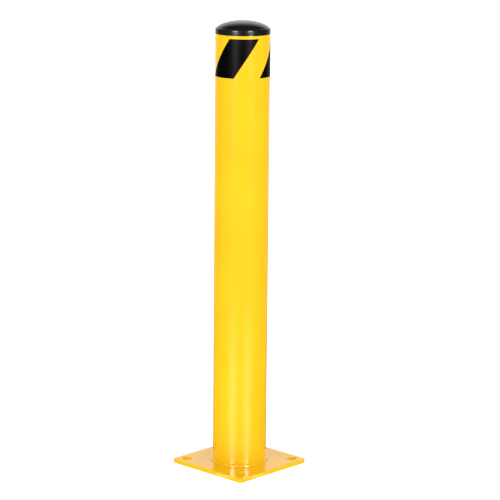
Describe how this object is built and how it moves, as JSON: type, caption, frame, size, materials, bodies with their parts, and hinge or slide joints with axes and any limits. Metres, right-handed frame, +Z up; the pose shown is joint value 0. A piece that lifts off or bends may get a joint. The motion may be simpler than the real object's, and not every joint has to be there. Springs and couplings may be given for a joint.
{
  "type": "steel safety bollard",
  "caption": "Round steel guard post welded to a square floor plate with anchor holes, with slanted black warning stripes and a removable domed cap.",
  "frame": {"origin": "centre of the floor plate's underside, on the floor", "axes": "+Z up along the post; X and Y along the sides of the square floor plate"},
  "size_m": [0.2032, 0.2032, 0.9512],
  "materials": {
    "yellow_powder_coat": "glossy safety yellow powder coat on steel",
    "black_film": "smooth semi-gloss black adhesive film",
    "black_cap_plastic": "glossy black moulded plastic"
  },
  "bodies": {
    "post": {"base_plate": "yellow_powder_coat", "base_weld": "yellow_powder_coat", "post_tube": "yellow_powder_coat", "warning_stripe_1": "black_film", "warning_stripe_2": "black_film", "warning_stripe_3": "black_film"},
    "cap": {"cap": "black_cap_plastic"}
  },
  "joints": [
    {"name": "cap_lift", "type": "slide", "parent": "post", "child": "cap", "axis": [0, 0, 1], "range_m": [0, 0.04]}
  ]
}
